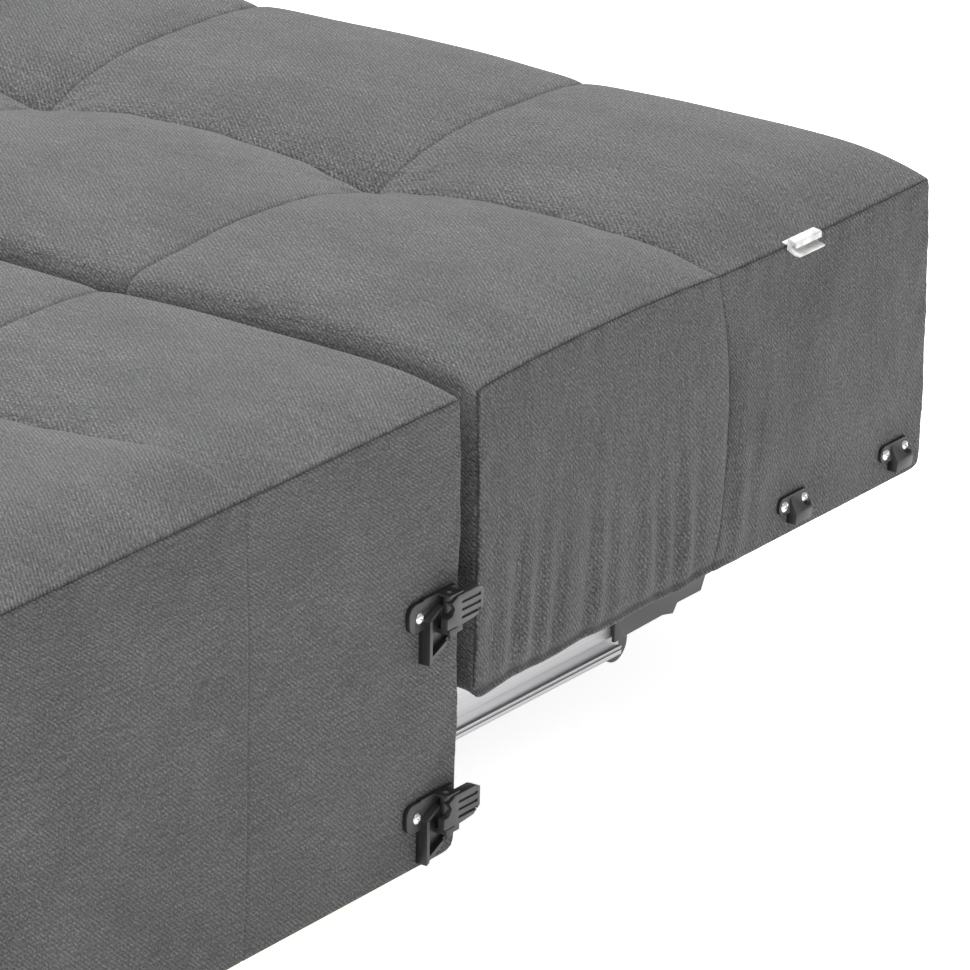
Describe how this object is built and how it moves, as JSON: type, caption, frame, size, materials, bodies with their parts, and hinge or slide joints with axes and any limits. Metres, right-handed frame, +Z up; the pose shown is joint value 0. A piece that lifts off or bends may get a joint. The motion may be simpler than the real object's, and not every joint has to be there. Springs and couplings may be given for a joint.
{
  "type": "futon sofa bed",
  "caption": "Upholstered sofa bed shown flat: a tufted seat block and a back block that slides rearwards on guide rails as it swings upright.",
  "frame": {"origin": "on the floor, at the middle of the outline seen from above, with the back lying flat", "axes": "+X to the sofa's right end as seen from its front, +Y towards the back block, +Z up"},
  "size_m": [1.952, 1.405, 0.39],
  "materials": {
    "upholstery_fabric": "heather grey woven, matt",
    "frame_wood": "sawn, unfinished",
    "slat_wood": "laminated, satin",
    "dust_cloth": "thin non-woven",
    "rail_aluminium": "extruded, satin",
    "black_plastic": "moulded, fine grain",
    "lever_plastic": "moulded, satin",
    "shoe_plastic": "smooth, self-lubricating",
    "black_steel": "powder coated",
    "white_plastic": "extruded, slightly glossy",
    "bright_steel": "zinc plated"
  },
  "bodies": {
    "seat_base": {"seat_front_board": "frame_wood", "seat_rear_board": "frame_wood", "seat_end_board_left": "frame_wood", "seat_end_board_right": "frame_wood", "seat_beams": "frame_wood", "seat_runner_left": "frame_wood", "seat_runner_right": "frame_wood", "seat_slats": "slat_wood", "seat_cushion": "upholstery_fabric", "seat_front_cover": "upholstery_fabric", "seat_rear_cover": "upholstery_fabric", "seat_end_cover_left": "upholstery_fabric", "seat_end_cover_right": "upholstery_fabric", "seat_dust_cover": "dust_cloth", "seat_glides": "black_plastic", "guide_rail_left": "rail_aluminium", "guide_rail_right": "rail_aluminium", "rail_end_left": "black_plastic", "rail_end_right": "black_plastic", "cross_tube": "black_steel", "floor_legs": "black_steel", "connector_upper_left": "black_plastic", "connector_lower_left": "black_plastic", "connector_upper_right": "black_plastic", "connector_lower_right": "black_plastic", "connector_pins": "bright_steel", "connector_screws": "bright_steel"},
    "carriage": {"slide_shoe_left": "shoe_plastic", "slide_shoe_right": "shoe_plastic", "carriage_plate_left": "black_steel", "carriage_plate_right": "black_steel", "pivot_pin_left": "bright_steel", "pivot_pin_right": "bright_steel", "carriage_tie": "black_steel"},
    "back": {"swing_arm_left": "black_steel", "swing_arm_right": "black_steel", "arm_bolts": "bright_steel", "back_near_board": "frame_wood", "back_far_board": "frame_wood", "back_end_board_left": "frame_wood", "back_end_board_right": "frame_wood", "back_beams": "frame_wood", "back_slats": "slat_wood", "back_cushion": "upholstery_fabric", "back_underside": "upholstery_fabric", "back_near_cover": "upholstery_fabric", "back_far_cover": "upholstery_fabric", "back_end_cover_left": "upholstery_fabric", "back_end_cover_right": "upholstery_fabric", "hook_first_left": "black_plastic", "hook_second_left": "black_plastic", "hook_first_right": "black_plastic", "hook_second_right": "black_plastic", "hook_screws": "bright_steel", "seam_clips": "white_plastic"},
    "lever_upper_left": {"lever_upper_left": "lever_plastic"},
    "lever_lower_left": {"lever_lower_left": "lever_plastic"},
    "lever_upper_right": {"lever_upper_right": "lever_plastic"},
    "lever_lower_right": {"lever_lower_right": "lever_plastic"}
  },
  "joints": [
    {"name": "carriage_slide", "type": "slide", "parent": "seat_base", "child": "carriage", "axis": [0, 1, 0], "range_m": [0, 0.33]},
    {"name": "back_swing", "type": "hinge", "parent": "carriage", "child": "back", "pos_m": [0, -0.2065, 0.099], "axis": [1, 0, 0], "range_deg": [0, 90]},
    {"name": "lever_upper_left_press", "type": "hinge", "parent": "seat_base", "child": "lever_upper_left", "pos_m": [-0.969, 0.0585, 0.214], "axis": [0, 0, 1], "range_deg": [0, 12], "stiffness_Nm_per_rad": 0.6},
    {"name": "lever_lower_left_press", "type": "hinge", "parent": "seat_base", "child": "lever_lower_left", "pos_m": [-0.969, 0.0585, 0.058], "axis": [0, 0, 1], "range_deg": [0, 12], "stiffness_Nm_per_rad": 0.6},
    {"name": "lever_upper_right_press", "type": "hinge", "parent": "seat_base", "child": "lever_upper_right", "pos_m": [0.969, 0.0585, 0.214], "axis": [0, 0, -1], "range_deg": [0, 12], "stiffness_Nm_per_rad": 0.6},
    {"name": "lever_lower_right_press", "type": "hinge", "parent": "seat_base", "child": "lever_lower_right", "pos_m": [0.969, 0.0585, 0.058], "axis": [0, 0, -1], "range_deg": [0, 12], "stiffness_Nm_per_rad": 0.6}
  ],
  "couplings": [
    {"joint": "carriage_slide", "follows": "back_swing", "m_per_rad": 0.21008}
  ]
}
